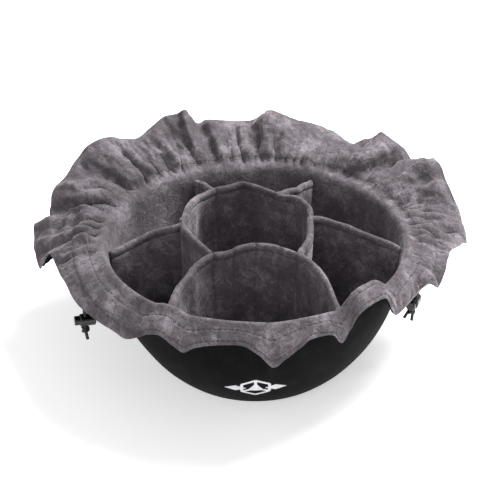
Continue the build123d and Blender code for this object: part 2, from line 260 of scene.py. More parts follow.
# The free edge: bearing, reach past the rim, rise above it. It runs out to soft points where
# a fold ends and back in between them.
COLLAR_EDGE = [
    (1, 42, -12), (4, 48, -16), (8, 56, -24), (12, 57, -16), (17, 59, -6), (22, 55, 9),
    (27, 57, 19), (32, 59, 14), (37, 65, 4), (41, 70, -4), (45, 67, 10), (49, 54, 28),
    (53, 57, 20), (58, 64, 5), (62, 61, 6), (67, 65, 12), (72, 61, 19), (76, 53, 26),
    (81, 48, 32), (85, 47, 34), (88, 49, 30), (91, 55, 21), (95, 53, 22), (99, 51, 24),
    (105, 55, 22), (108, 54, 22), (110, 50, 31), (112, 48, 38), (115, 49, 36), (119, 51, 34),
    (124, 47, 30), (129, 45, 26), (135, 48, 28), (140, 52, 32), (145, 58, 28), (149, 61, 20),
    (154, 63, 10), (158, 64, 2), (161, 63, -10), (165, 57, -16), (168, 58, -14), (171, 64, -8),
    (175, 62, -13), (179, 59, -22), (182, 53, -27), (184, 45, -10), (188, 38, -14), (193, 35, -14),
    (198, 32, -15), (208, 30, -18), (216, 25, -21), (224, 20, -24), (229, 20, -24), (233, 17, -20),
    (236, 15, -16), (240, 14, -14), (244, 14, -18), (248, 15, -21), (252, 14, -16), (256, 13, -13),
    (261, 11, -12),
    (266, 11, -12), (271, 13, -18), (275, 17, -25), (279, 15, -20), (283, 12, -16), (287, 9, -12),
    (291, 9, -11), (295, 9, -13), (298, 10, -21), (301, 9, -14), (304, 9, -4), (308, 8, -1),
    (312, 8, 0), (316, 10, -1), (319, 11, -13), (323, 10, -23), (330, 12, -21), (337, 15, -19),
    (341, 20, -17), (344.5, 27, -24), (348, 30, -15), (351, 31, -12), (354, 33, -11), (358, 36, -12),
]
# Where the collar stands up before it folds over: bearing, height, half width in degrees.
STANDING = [(311, 11, 9), (240, 3, 5)]
COLUMNS = 1080                  # round the bag
WALL_ROWS = 34
FLAP_ROWS = 44
FOLD_SOFTENING = 7              # passes that round the fold over the rim
# Folds that stand out from the rest: bearing, width in degrees, height in millimetres,
# lean in degrees by the collar's edge, and how far out they start and end, from 0 to 1.
PLEATS = [
    (159, 3.5, 6.0, 0, 0.1, 1.0), (170.5, 3, 7.0, 0, 0.15, 1.0), (176, 2.4, 5.0, 1, 0.15, 1.0),
    (183, 3, 6.0, 0, 0.1, 0.9), (190, 3, 3.5, -3, 0.1, 0.7), (166, 3, 4.0, 4, 0.25, 0.6),
    (152, 5, 5.0, 5, 0.2, 0.8), (143, 5, 4.0, 4, 0.1, 0.7), (134, 4, 4.5, 3, 0.1, 0.9),
    (121, 4, 5.0, 4, 0.1, 0.8), (113, 3, 7.0, 0, 0.15, 1.0), (103, 3.5, 4.5, 2, 0.1, 0.8),
    (95, 3, 3.5, 0, 0.1, 0.7), (86, 3.5, 6.0, 0, 0.1, 0.9), (79, 3, 4.0, 1, 0.1, 0.7),
    (70, 3, 4.5, -4, 0.1, 0.8), (60, 3.5, 5.0, -6, 0.1, 0.8), (51, 3.5, 6.0, -5, 0.1, 0.9),
    (42, 3, 5.0, -6, 0.05, 0.7), (34, 3.5, 6.5, -6, 0.05, 1.0), (25, 3, 4.5, -3, 0.1, 0.8),
    (15, 3, 4.0, -3, 0.1, 0.8), (6, 3, 4.0, 0, 0.2, 0.9), (357, 4, 3.5, 2, 0.2, 0.9),
    (340, 4, 3.0, 3, 0.2, 0.9), (214, 6, 3.0, 5, 0.2, 0.9), (226, 5, 2.5, 3, 0.3, 0.9),
]
QUIET_BEARINGS = (198, 351)     # the cloth lies flat where the eyelets are set

# Wrinkles, as noise: how many cells fit into a radian round the bag, how fast they change
# along the cloth, and a seed. Then their height at the front, and what the back and sides add.
GATHERS, GATHER_HEIGHT = (12, 0.22, 3.1), (1.2, 3.8)
FINE_GATHERS, FINE_HEIGHT = (27, 0.5, 5.3), (0.3, 0.9)
BROAD_FOLDS, BROAD_HEIGHT = (5.5, 0.4, 9.7), (2.0, 7.0)
CRUMPLES, CRUMPLE_HEIGHT = (15, 1.0, 21.0), (1.6, 2.6)
CREASES, CREASE_HEIGHT = (30, 1.9, 33.0), (0.8, 0.9)
WALL_WAVES, WAVE_HEIGHT = (2.4, 0.5, 1.3), 2.2
ROWS_PER_CELL = 10.0
# Where each kind starts and is at its full height, in millimetres along the cloth from the rim.
GATHER_START = (2, 12)
GATHER_FADE = (20, 48)
GATHER_LOSS = 0.75              # the share that the gathers lose over the fade
BROAD_START = (8, 30)
CRUMPLE_START = (14, 30)
QUIET_START, QUIET_END = (5, 12), (25, 32)
QUIET_WIDTH = 3.5               # degrees
WAVE_START, WAVE_END = (-100, -60), (-14, 0)
PLEAT_BACK = 0.28               # a pleat's steep side, as a share of its soft side
PLEAT_ENDS = (0.2, 0.3)         # of the collar's width, over which a pleat rises and sinks
NORMAL_PASSES = 6               # that even out the direction in which the cloths are thick
CHANNEL_PUFF = 1.6              # each cloth stands off the cords by this much
STITCH_DEPTH, STITCH_WIDTH = 0.35, 0.9
STANDING_LEAN = 0.12            # a standing stretch leans in by this share of its height
BEND_SHARE = 0.55               # of the way to the edge, before the collar turns to it
EDGE_ROLL = 4                   # rows over which the two cloths close on each other at the edge
CLOTHS_APART = 0.3
EDGE_THIN = 0.45                # of a cloth's thickness is left at the edge

chord = math.hypot(RIM_RADIUS - BASE_RADIUS, WALL_HEIGHT)
wall_arc = ((chord / 2) ** 2 + WALL_BULGE ** 2) / (2 * WALL_BULGE)
arc_x = (BASE_RADIUS + RIM_RADIUS) / 2 - (wall_arc - WALL_BULGE) * WALL_HEIGHT / chord
arc_z = WALL_HEIGHT / 2 + (wall_arc - WALL_BULGE) * (RIM_RADIUS - BASE_RADIUS) / chord


def wall_radius(height, inset=0.0):
    """Radius of the wall at a height, inset deep into it."""
    return arc_x + np.sqrt((wall_arc - inset) ** 2 - (height - arc_z) ** 2)


def smooth_keys(bearings, keys, value):
    """A closed smooth curve through one value of the edge's keys, read at the bearings."""
    knots = np.array([k[0] for k in keys], float)
    heights = np.array([k[value] for k in keys], float)
    knots = np.concatenate([knots[-2:] - 360, knots, knots[:3] + 360])
    heights = np.concatenate([heights[-2:], heights, heights[:3]])
    slopes = np.gradient(heights, knots) * 0.75
    at = np.clip(np.searchsorted(knots, bearings, side="right") - 1, 0, len(knots) - 2)
    width = knots[at + 1] - knots[at]
    t = (bearings - knots[at]) / width
    return ((2 * t ** 3 - 3 * t ** 2 + 1) * heights[at] + (t ** 3 - 2 * t ** 2 + t) * width * slopes[at]
            + (3 * t ** 2 - 2 * t ** 3) * heights[at + 1] + (t ** 3 - t ** 2) * width * slopes[at + 1])


def away(bearings, centre):
    """Degrees from centre, from -180 to 180."""
    return (bearings - centre + 180) % 360 - 180


def rise(low, high, value):
    """0 at low and 1 at high, with soft ends."""
    t = np.clip((value - low) / (high - low), 0, 1)
    return t * t * (3 - 2 * t)


def wrinkle_field(bearings, rows, ring, stretch, seed):
    """Wrinkles round the bag: ring is how many fit round it in radians, stretch along them."""
    field = np.empty((len(bearings), len(rows)))
    for i, bearing in enumerate(np.radians(bearings)):
        x, y = ring * math.cos(bearing), ring * math.sin(bearing)
        field[i] = [noise.noise(Vector((x, y, row * stretch + seed))) for row in rows]
    return field


bearings = np.arange(COLUMNS) * 360 / COLUMNS
angle = np.radians(bearings)
reach = smooth_keys(bearings, COLLAR_EDGE, 1)
lift_edge = smooth_keys(bearings, COLLAR_EDGE, 2)
heights = np.linspace(WALL_FOOT, WALL_HEIGHT - 2, WALL_ROWS)
section_r = [np.full(COLUMNS, wall_radius(h, WALL_MIDDLE)) for h in heights]
section_z = [np.full(COLUMNS, h) for h in heights]
lift = np.radians(SIDE_LIFT + LIFT_SWING * np.sin(angle))
stand = sum(height * np.exp(-(away(bearings, at) / wide) ** 4) for at, height, wide in STANDING)
fold_r, fold_z = RIM_RADIUS - STANDING_LEAN * stand, FOLD_LEVEL + stand
edge_r, edge_z = RIM_RADIUS + reach, FOLD_LEVEL + lift_edge
run = np.minimum(CHANNEL[1], BEND_SHARE * np.hypot(edge_r - fold_r, edge_z - fold_z))
bend_r, bend_z = fold_r + run * np.cos(lift), fold_z + run * np.sin(lift)
for t in np.linspace(0, 1, FLAP_ROWS):
    section_r.append((1 - t) ** 2 * fold_r + 2 * t * (1 - t) * bend_r + t * t * edge_r)
    section_z.append((1 - t) ** 2 * fold_z + 2 * t * (1 - t) * bend_z + t * t * edge_z)
section_r, section_z = np.array(section_r).T, np.array(section_z).T
RIM_ROW = WALL_ROWS
for _ in range(FOLD_SOFTENING):
    for section in (section_r, section_z):
        inner = section[:, RIM_ROW - 4:].copy()
        section[:, RIM_ROW - 3:-1] = (inner[:, :-2] + 2 * inner[:, 1:-1] + inner[:, 2:]) / 4

steps = np.hypot(np.diff(section_r, axis=1), np.diff(section_z, axis=1))
along = np.concatenate([np.zeros((COLUMNS, 1)), np.cumsum(steps, axis=1)], axis=1)
along -= along[:, RIM_ROW:RIM_ROW + 1]                  # measured from the rim, along the cloth
out_share = np.clip(along / along[:, -1:], 0, 1)        # 0 at the rim, 1 at the free edge


def surface_points(radius, height):
    """Points round the bag from each column's radii and heights."""
    turn = angle[:, None]
    return np.stack([radius * np.cos(turn), radius * np.sin(turn), height], axis=2)


def surface_normals(points):
    """Unit normals on the side of the velour: up on the collar, inward on the wall."""
    round_step = np.roll(points, -1, axis=0) - np.roll(points, 1, axis=0)
    up_step = np.gradient(points, axis=1)
    normals = np.cross(up_step, round_step)
    return normals / np.linalg.norm(normals, axis=2, keepdims=True)


middle = surface_points(section_r, section_z)
normals = surface_normals(middle)
row_place = np.arange(section_r.shape[1]) / ROWS_PER_CELL
gathers = wrinkle_field(bearings, row_place, *GATHERS)
broad = wrinkle_field(bearings, row_place, *BROAD_FOLDS)
fine = wrinkle_field(bearings, row_place, *FINE_GATHERS)
crumple = wrinkle_field(bearings, row_place, *CRUMPLES)
creases = wrinkle_field(bearings, row_place, *CREASES)
back_and_sides = rise(-0.5, 0.1, np.sin(angle))[:, None]


def fuller_behind(front, added):
    """A wrinkle's height round the bag: front, with added at the back and sides."""
    return front + added * back_and_sides


gathered = rise(*GATHER_START, along) * (1 - GATHER_LOSS * rise(*GATHER_FADE, along))
gathered *= 1 - rise(0.8, 1, out_share)
loose = rise(*CRUMPLE_START, along) * (1 - 0.6 * rise(0.8, 1, out_share))
relief = (np.abs(gathers) ** 0.8 * 2 - 0.6) * fuller_behind(*GATHER_HEIGHT) * gathered
relief += (np.abs(fine) * 2 - 0.4) * fuller_behind(*FINE_HEIGHT) * gathered
relief += broad * fuller_behind(*BROAD_HEIGHT) * rise(*BROAD_START, along)
relief += (0.25 - np.abs(crumple)) * fuller_behind(*CRUMPLE_HEIGHT) * loose
relief += (0.2 - np.abs(creases)) * fuller_behind(*CREASE_HEIGHT) * loose
pleats = np.zeros_like(relief)
for bearing, width, height, lean, start, end in PLEATS:
    x = away(bearings, bearing)[:, None] - lean * out_share
    shape = np.where(x < 0, np.exp(-(x / width) ** 2), np.exp(-(x / (width * PLEAT_BACK)) ** 2))
    shape *= rise(start, start + PLEAT_ENDS[0], out_share)
    pleats += shape * height * (1 - rise(end, end + PLEAT_ENDS[1], out_share))
relief += pleats * (1 - 0.5 * rise(0.85, 1, out_share))
quiet = np.ones(COLUMNS)
for bearing in QUIET_BEARINGS:
    quiet -= np.exp(-(away(bearings, bearing) / QUIET_WIDTH) ** 2)
in_channel = rise(*QUIET_START, along) * (1 - rise(*QUIET_END, along))
relief *= 1 - (1 - quiet[:, None]) * in_channel
on_wall_only = rise(*WAVE_START, along) * (1 - rise(*WAVE_END, along))
relief += wrinkle_field(bearings, row_place, *WALL_WAVES) * WAVE_HEIGHT * on_wall_only
middle = middle + normals * relief[:, :, None]
normals = surface_normals(middle)
for _ in range(NORMAL_PASSES):
    normals = normals + np.roll(normals, 1, axis=0) + np.roll(normals, -1, axis=0)
    normals /= np.linalg.norm(normals, axis=2, keepdims=True)
# Where the collar is narrower than the channel needs, the channel narrows with it.
narrow = np.minimum(1, along[:, -1:] / CHANNEL_NEEDS)
placed = along / narrow
channel_puff = rise(CHANNEL[0] - 4, CHANNEL[0] + 3, placed) * (
    1 - rise(CHANNEL[1] - 3, CHANNEL[1] + 4, placed)) * (0.3 + 0.7 * rise(0.5, 1, narrow))
channel_puff *= 1 - rise(0.8, 0.97, out_share)
stitch_dip = sum(np.exp(-((placed - at) / STITCH_WIDTH) ** 2) for at in CHANNEL) * STITCH_DEPTH
edge_close = rise(0, EDGE_ROLL, np.arange(section_r.shape[1])[::-1])[None, :]


def skin(name, loops, closed, material, replaces=()):
    """A closed solid skin through section loops, all with as many points. Open skins get ends."""
    count, size = loops.shape[:2]
    faces = []
    for i in range(count if closed else count - 1):
        a, b = i * size, ((i + 1) % count) * size
        for j in range(size):
            k = (j + 1) % size
            faces.append((a + j, a + k, b + k, b + j))
    if not closed:
        for start, flip in ((0, 1), ((count - 1) * size, -1)):
            for j in range(size // 2 - 1):
                quad = (start + j, start + size - 1 - j, start + size - 2 - j, start + j + 1)
                faces.append(quad[::flip])
    data = bpy.data.meshes.new(name)
    data.from_pydata((loops.reshape(-1, 3) * MM).tolist(), [], faces)
    data.validate()
    data.polygons.foreach_set("use_smooth", [True] * len(data.polygons))
    return put(name, data, material, replaces=replaces)


def cloth_loops(points, facing, low, high):
    """Section loops of a cloth from low to high off the middle, with a rounded free edge."""
    top = points + facing * high[:, :, None]
    under = points + facing * low[:, :, None]
    ends = []
    for at, nearby in ((-1, -2), (0, 1)):
        tip = points[:, at] - points[:, nearby]
        tip /= np.linalg.norm(tip, axis=1, keepdims=True)
        centre = (top[:, at] + under[:, at]) / 2
        half = (high[:, at] - low[:, at]) / 2
        ends.append((centre + tip * half[:, None])[:, None])
    return np.concatenate([top, ends[0], under[:, ::-1], ends[1]], axis=1)


# The two drawcords lie in the channel between the cloths, one outside the other, and dip with
# every gather. The left cord's ends come out at the left, the right cord's at the right.
LANES = {"left": (21.0, 198), "right": (16.0, 351)}
EXIT_GAP = 5                    # degrees left free beside a cord's own exit
CORD_STEP = 5                   # columns between two points of a cord
for side, (lane, exit_bearing) in LANES.items():
    first = round((exit_bearing + EXIT_GAP) * COLUMNS / 360)
    last = round((exit_bearing + 360 - EXIT_GAP) * COLUMNS / 360)
    route = []
    for column in range(first, last + 1, CORD_STEP):
        column %= COLUMNS
        route.append([np.interp(lane, placed[column], middle[column, :, k]) for k in range(3)])
    ends = STRANDS[side]
    route = [ends["a"][0]] + route + [ends["b"][0]]
    put(f"channel_cord_{side}", line_curve(f"channel_cord_{side}", route), braid,
        replaces=[f"drawstring_{side}"])

# ---- Velour lining ----
# One lining from the bag's floor over the rim to the collar's edge, cut and sewn of crushed
# polyester velour. Its 1.5 mm pile leans in patches, so it looks dark here and pale there.
VELOUR_DARK = "#433e42"
VELOUR_MID = "#5a5459"
VELOUR_PALE = "#8a8389"
VELOUR_SHEEN = "#d6d1d4"
PILE_PATCH = 24                 # millimetres across a patch of leaning pile
CRUSH_MARK = 7                  # millimetres across a crushed mark in the pile
PILE_TUFT = 1.3                 # drawn coarser than the real 0.4 mm tufts, so that it shows
PATCH_SHARE, CRUSH_SHARE, TUFT_SHARE = 0.45, 0.35, 0.2   # of the colour's variation

velour, surface, place = new_material(
    "crushed_polyester_velour", roughness=0.8, sheen_weight=0.6, sheen_roughness=0.3,
    specular_ior_level=0.15)
surface.inputs["Sheen Tint"].default_value = colour(VELOUR_SHEEN)
patches = add(velour, "ShaderNodeTexNoise", {
    "Scale": 1 / (PILE_PATCH * MM), "Detail": 3, "Roughness": 0.5, "Distortion": 0.3},
    {"Vector": place}).outputs["Fac"]
tufts = add(velour, "ShaderNodeTexNoise", {"Scale": 1 / (PILE_TUFT * MM), "Detail": 3},
            {"Vector": place}).outputs["Fac"]
crush = add(velour, "ShaderNodeTexNoise", {
    "Scale": 1 / (CRUSH_MARK * MM), "Detail": 4, "Roughness": 0.6, "Distortion": 1.2},
    {"Vector": place}).outputs["Fac"]
mixed = add(velour, "ShaderNodeMath", {"operation": "MULTIPLY", 1: PATCH_SHARE}, {0: patches})
mixed = add(velour, "ShaderNodeMath", {"operation": "MULTIPLY_ADD", 1: CRUSH_SHARE},
            {0: crush, 2: mixed.outputs[0]})
mixed = add(velour, "ShaderNodeMath", {"operation": "MULTIPLY_ADD", 1: TUFT_SHARE},
            {0: tufts, 2: mixed.outputs[0]})
blend_colours(velour, surface, mixed.outputs[0],
              [(0.36, VELOUR_DARK), (0.5, VELOUR_MID), (0.66, VELOUR_PALE)])
soft = emboss(velour, surface, tufts, 0.9, strength=0.5)
emboss(velour, surface, crush, 1.6, soft, strength=0.6)

LINING_START = 1                # rows up from the base, where the lining leaves the floor
puff = channel_puff * CHANNEL_PUFF - stitch_dip
cloth_here = CLOTH * (EDGE_THIN + (1 - EDGE_THIN) * edge_close)
lining_low = CLOTHS_APART / 2 + puff
lining_high = lining_low + cloth_here
rows = slice(LINING_START, None)
lining_loops = cloth_loops(
    middle[:, rows], normals[:, rows], lining_low[:, rows], lining_high[:, rows])
lining = skin("velour_lining", lining_loops, True, velour,
              replaces=["lining_wall", "collar_lining"])

# ---- Outer wall and collar underside ----
# Black suede cloth: a brushed microfibre polyester, dull, with the nap rubbed into faint
# clouds. Two wall panels meet at the side seams, and a third piece backs the collar.
SUEDE_DEEP = "#030304"
SUEDE_MID = "#070708"
SUEDE_RUBBED = "#121214"
RUB_CLOUD = 14                  # millimetres across a rubbed cloud
NAP_GRAIN = 0.9                 # drawn coarser than the real 0.3 mm nap
SEAM_BEARINGS = (198.0, 352.0)
SEAM_PULL = 1.3                 # the panels turn in this far along a side seam
SEAM_REACH = 1.1                # degrees over which they turn in

suede, surface, place = new_material(
    "brushed_microfibre_suede", roughness=0.95, sheen_weight=0.02, sheen_roughness=0.5,
    specular_ior_level=0.08)
clouds = add(suede, "ShaderNodeTexNoise", {
    "Scale": 1 / (RUB_CLOUD * MM), "Detail": 5, "Roughness": 0.65}, {"Vector": place}).outputs["Fac"]
nap = add(suede, "ShaderNodeTexNoise", {"Scale": 1 / (NAP_GRAIN * MM), "Detail": 3},
          {"Vector": place}).outputs["Fac"]
mixed = add(suede, "ShaderNodeMath", {"operation": "MULTIPLY_ADD", 1: 0.5}, {0: nap, 2: clouds})
blend_colours(suede, surface, mixed.outputs[0],
              [(0.55, SUEDE_DEEP), (0.75, SUEDE_MID), (0.95, SUEDE_RUBBED)])
emboss(suede, surface, nap, 0.4, strength=0.4)

outer_high = -CLOTHS_APART / 2 - puff
outer_low = outer_high - cloth_here


def panel(name, first, last, node):
    """One wall panel between two seam bearings, turned in along both."""
    turn = np.arange(math.ceil(first * COLUMNS / 360), math.floor(last * COLUMNS / 360) + 1)
    turn %= COLUMNS
    tuck = sum(np.exp(-(away(bearings[turn], seam) / SEAM_REACH) ** 2) for seam in SEAM_BEARINGS)
    pull = (tuck * SEAM_PULL)[:, None]
    rows = slice(0, RIM_ROW + 1)
    loops = cloth_loops(middle[turn][:, rows] + normals[turn][:, rows] * pull[:, :, None],
                        normals[turn][:, rows], outer_low[turn][:, rows], outer_high[turn][:, rows])
    piece = skin(name, loops, False, suede, replaces=[node])


left_seam, right_seam = SEAM_BEARINGS
panel("outer_panel_front", left_seam, right_seam, "outer_wall_front")
panel("outer_panel_back", right_seam, left_seam + 360, "outer_wall_back")

rows = slice(RIM_ROW - 1, -2)        # the velour rolls under at the edge, so the backing stops short
backing_loops = cloth_loops(middle[:, rows], normals[:, rows], outer_low[:, rows], outer_high[:, rows])
backing = skin("collar_backing", backing_loops, True, suede, replaces=["collar_outer"])

# ---- Stitching ----
# The channel's two rows and the side seams' topstitching, in bonded polyester thread. Each
# stitch pulls into the cloth at its ends and stands up a little between them.
THREAD_GREY = "#3b383b"
THREAD_BLACK = "#161618"
THREAD_SHADE = "#0c0c0d"        # between the plies
THREAD_TWIST = 0.5              # millimetres between two turns of the thread's ply
STITCH = 3.0
STITCH_GAP = 0.8
THREAD = 0.45                   # thickness
# A stitch's height over the cloth at shares of its length.
STITCH_RISE = [(0, -0.25), (0.2, 0.1), (0.5, 0.18), (0.8, 0.1), (1, -0.25)]
TOPSTITCH = 3.0                 # degrees beside a side seam


def sewing_thread(name, shade):
    """Bonded polyester thread: plied, so it glints in short steps along its length."""
    thread, surface, place = new_material(name, roughness=0.45, specular_ior_level=0.4)
    ply = add(thread, "ShaderNodeTexNoise", {"Scale": 1 / (THREAD_TWIST * MM)}, {"Vector": place})
    blend_colours(thread, surface, ply.outputs["Fac"], [(0.3, THREAD_SHADE), (0.6, shade)])
    emboss(thread, surface, ply.outputs["Fac"], 0.05)
    return thread


def thread_curve(name, runs, thickness, material, replaces=()):
    """Short round threads, each through its own few points in millimetres."""
    data = bpy.data.curves.new(name, "CURVE")
    data.dimensions = "3D"
    data.bevel_depth = thickness / 2 * MM
    data.bevel_resolution = 1
    data.use_fill_caps = True
    for points in runs:
        spline = data.splines.new("POLY")
        spline.points.add(len(points) - 1)
        for point, at in zip(spline.points, points):
            point.co = (*[c * MM for c in at], 1)
    return put(name, data, material, replaces=replaces)


def stitches(line, out):
    """A row of stitches along a line of surface points, out being its unit normals."""
    line, out = np.array(line), np.array(out)
    length = np.concatenate([[0], np.cumsum(np.linalg.norm(np.diff(line, axis=0), axis=1))])
    runs = []
    for start in np.arange(STITCH_GAP, length[-1] - STITCH, STITCH + STITCH_GAP):
        run = []
        for share, stand in STITCH_RISE:
            at = start + share * STITCH
            run.append([np.interp(at, length, line[:, k] + out[:, k] * stand) for k in range(3)])
        runs.append(run)
    return runs


grey_thread = sewing_thread("bonded_polyester_thread_grey", THREAD_GREY)
black_thread = sewing_thread("bonded_polyester_thread_black", THREAD_BLACK)
top_face = middle + normals * lining_high[:, :, None]
under_face = middle + normals * outer_low[:, :, None]
for row, at in zip(("inner", "outer"), CHANNEL):
    for face, facing, thread, finish in ((top_face, 1, grey_thread, "lining_velour"),
                                         (under_face, -1, black_thread, "outer_suede")):
        line = [[np.interp(at, placed[i], face[i, :, k]) for k in range(3)] for i in range(COLUMNS)]
        out = [[np.interp(at, placed[i], normals[i, :, k]) * facing for k in range(3)]
               for i in range(COLUMNS)]
        thread_curve(f"channel_stitches_{row}_{'top' if facing > 0 else 'under'}",
                     stitches(line, out), THREAD, thread)
runs = []
for seam in SEAM_BEARINGS:
    for beside in (-TOPSTITCH, TOPSTITCH):
        column = round((seam + beside) * COLUMNS / 360) % COLUMNS
        runs += stitches(under_face[column, 1:RIM_ROW - 2], -normals[column, 1:RIM_ROW - 2])
thread_curve("side_seam_topstitching", runs, THREAD, black_thread)

# ---- Badge ----
# Machine embroidery on the front panel: a die seen corner on between two lozenges, in satin
# stitch. Silver-white rayon thread lies side by side across each stroke and shines along it.
BADGE_HEIGHT = 33.0
DIE_RADIUS = 12.5
DIE_STROKE = 2.0
DIE_FACE = 6.9                  # from the die's centre to a corner of its near face
LOZENGE = (15.0, 8.0)
LOZENGE_PLACE = 14.5
RAYON_BRIGHT = "#f2f2f4"
RAYON_SHADE = "#a5a5ab"
RAYON_THREAD = 0.42
RAYON_PITCH = 0.36              # between two threads, so that they crowd each other
BADGE_PAD = 0.35                # the stitches stand up over their underlay
STITCH_ENDS = 0.05              # a thread's ends are this far under the cloth's face
POINT_WIDTH = 0.3               # of a stroke that runs out to a point
SPOKE_START = 1.5               # a spoke starts this far inside the near face's corner
WALL_GUESS = 95.0               # the wall's radius at the badge, before it is looked up

rayon, surface, place = new_material("silver_rayon_thread", roughness=0.32, specular_ior_level=0.6,
                                     sheen_weight=0.2)
twist = add(rayon, "ShaderNodeTexNoise", {"Scale": 1 / (THREAD_TWIST * MM)}, {"Vector": place})
blend_colours(rayon, surface, twist.outputs["Fac"], [(0.3, RAYON_SHADE), (0.6, RAYON_BRIGHT)])
emboss(rayon, surface, twist.outputs["Fac"], 0.04)


def on_wall(x, up, stand):
    """A point on the front panel's face, stand proud of it, at x and up from the badge's centre."""
    z = BADGE_HEIGHT + up
    bearing = 270 + math.degrees(math.asin(x / WALL_GUESS))
    for _ in range(3):
        column = round(bearing * COLUMNS / 360) % COLUMNS
        face = under_face[column, :RIM_ROW]
        radius = np.interp(z, face[:, 2], np.hypot(face[:, 0], face[:, 1])) + stand
        bearing = 270 + math.degrees(math.asin(x / radius))
    return (x, -math.sqrt(radius ** 2 - x ** 2), z)


def satin(start, end, width_at_start, width_at_end):
    """Threads across a stroke from start to end, side by side, domed over their underlay."""
    start, end = np.array(start, float), np.array(end, float)
    length = np.linalg.norm(end - start)
    ahead = (end - start) / length
    across = np.array([-ahead[1], ahead[0]])
    runs = []
    for at in np.arange(RAYON_PITCH / 2, length, RAYON_PITCH):
        half = (width_at_start + (width_at_end - width_at_start) * at / length) / 2
        centre = start + ahead * at
        runs.append([on_wall(*(centre + across * half * share),
                             BADGE_PAD * (1 - share ** 2) - STITCH_ENDS)
                     for share in (-1, -0.6, 0, 0.6, 1)])
    return runs


def corner(radius, degrees):
    """A point at a radius and angle from the badge's centre."""
    return (radius * math.cos(math.radians(degrees)), radius * math.sin(math.radians(degrees)))


runs = []
ring = DIE_RADIUS - DIE_STROKE / 2
for start in range(30, 390, 60):
    runs += satin(corner(ring, start), corner(ring, start + 60), DIE_STROKE, DIE_STROKE)
for turn in (90, 210, 330):
    runs += satin(corner(DIE_FACE - SPOKE_START, turn), corner(ring, turn), DIE_STROKE, DIE_STROKE)
triangle_side = DIE_FACE * math.sqrt(3)
runs += satin(corner(DIE_FACE / 2, -90), corner(DIE_FACE, 90), triangle_side, POINT_WIDTH)
for hand in (-1, 1):
    for way in (-1, 1):
        point = hand * LOZENGE_PLACE + way * LOZENGE[0] / 2
        runs += satin((hand * LOZENGE_PLACE, 0), (point, 0), LOZENGE[1], POINT_WIDTH)
thread_curve("satin_stitch_badge", runs, RAYON_THREAD, rayon,
             replaces=["badge_embroidery"])

# ---- Base ----
# A round of the same suede cloth, sewn to the wall's lower edge, with the stiffening board on
# it and the lining's floor over that. The board is 2 mm grey greyboard and doesn't show.
BASE_EDGE = 75.6
FLOOR_EDGE = 77.0
FLOOR_TOP = 5.2
FLOOR_SAG = 0.9
SPOKES = 180
RIPPLE = 16                     # millimetres between ripples
BOARD_GREY = "#8c8a85"
BOARD_FLECK = "#6e6b66"
FIBRE = 1.5                     # millimetres


def round_sheet(name, radius, top, thickness, ripple, seed, material, node):
    """A flat round of cloth with a soft edge and faint ripples, built in rings."""
    rings = np.concatenate([np.linspace(0.01, radius - 3, 24), radius - np.array([2, 1.2, 0.6])])
    loops = np.empty((SPOKES, 2 * len(rings) + 1, 3))
    for i in range(SPOKES):
        turn = math.tau * i / SPOKES
        x, y = math.cos(turn), math.sin(turn)
        lift = [noise.noise(Vector((x * r / RIPPLE, y * r / RIPPLE, seed))) * ripple for r in rings]
        upper = [(x * r, y * r, top + h) for r, h in zip(rings, lift)]
        lower = [(x * r, y * r, top - thickness + max(h, 0)) for r, h in zip(rings, lift)]
        loops[i] = upper + [(x * radius, y * radius, top - thickness / 2)] + lower[::-1]
    return skin(name, loops, True, material, replaces=[node])


base = round_sheet("suede_base", BASE_EDGE, CLOTH, CLOTH, 0.0, 2.0, suede,
                   "outer_base")
floor_lining = round_sheet("velour_floor", FLOOR_EDGE, FLOOR_TOP, CLOTH, FLOOR_SAG, 7.0, velour,
                           "lining_floor")

greyboard, surface, place = new_material("pressed_greyboard", roughness=0.95)
fibre = add(greyboard, "ShaderNodeTexNoise", {"Scale": 1 / (FIBRE * MM), "Detail": 6}, {"Vector": place})
blend_colours(greyboard, surface, fibre.outputs["Fac"], [(0.35, BOARD_FLECK), (0.65, BOARD_GREY)])
emboss(greyboard, surface, fibre.outputs["Fac"], 0.1)
finish_node("base_board", greyboard)

# ---- Pocket walls ----
# Two layers of the lining velour sewn back to back, with a turned and topstitched hem along
# the top. The centre pocket's six panels bow outward between their seams, and a divider
# runs from each seam to the bag's wall, sagging to meet it.
POCKET_FLOOR = 5.4
HEM = 8.5                       # depth of the hem and the welt under its stitches
WALL_HALF = 1.5                 # half the thickness of a plain wall
WALL_PUFF = 0.8                 # each face swells by this at mid height
STATION = 1.0                   # millimetres between stations along a wall
PLAIN_ROWS = 18
LINING_FACE = 3.2               # from the outer wall's face to where a divider meets the lining
WAVE = (15, 30, 1.8)            # a wall's waves: length along it, height up it, how far they go
CRUSH = (6, 14, 0.7)            # small dents in its faces, given alike
DENT_SHARE = 0.6                # of a dent shows on each face
SEAM_PINCH = 1.3                # each face is pulled in this far at a seam
THINNEST = 0.3
FREE_HEIGHT = 25                # the walls wave fully from here up
HEM_PROFILE = [                 # millimetres below the top edge, half thickness
    (7.6, 2.1), (6.7, 1.5), (6.2, 0.9), (5.7, 1.4), (5.0, 2.0), (3.8, 2.3), (2.6, 2.3), (1.4, 2.0),
    (0.6, 1.4), (0.1, 0.6)]
SEW_ROW = 8                     # the profile's row that the hem's stitches lie in, from the top
